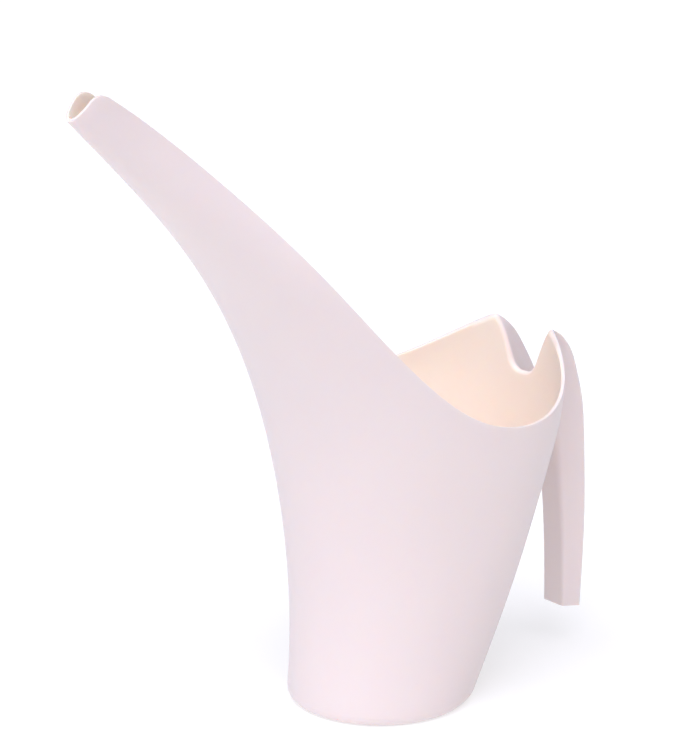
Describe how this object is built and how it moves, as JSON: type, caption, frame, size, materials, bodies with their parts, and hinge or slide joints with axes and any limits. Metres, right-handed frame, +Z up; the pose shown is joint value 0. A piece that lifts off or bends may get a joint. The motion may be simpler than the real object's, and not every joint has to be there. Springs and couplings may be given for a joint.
{
  "type": "watering can",
  "caption": "One-piece moulded indoor watering can: round base, leaning body, long open pouring spout, notched rear bridge and a hanging open-backed channel handle.",
  "frame": {"origin": "centre of the round base, on the plane the can stands on", "axes": "+Z up, -X toward the spout, +X toward the handle, +Y to the can's right-hand side seen from behind"},
  "size_m": [0.3226, 0.1442, 0.34],
  "materials": {
    "body_plastic": "satin, very fine moulded grain, pale pinkish lilac white"
  },
  "bodies": {
    "root": {"base_floor": "body_plastic", "foot_ring": "body_plastic", "vessel_wall": "body_plastic", "spout_channel": "body_plastic", "handle_saddle": "body_plastic", "handle_web": "body_plastic", "handle_flank_left": "body_plastic", "handle_flank_right": "body_plastic"}
  },
  "joints": []
}
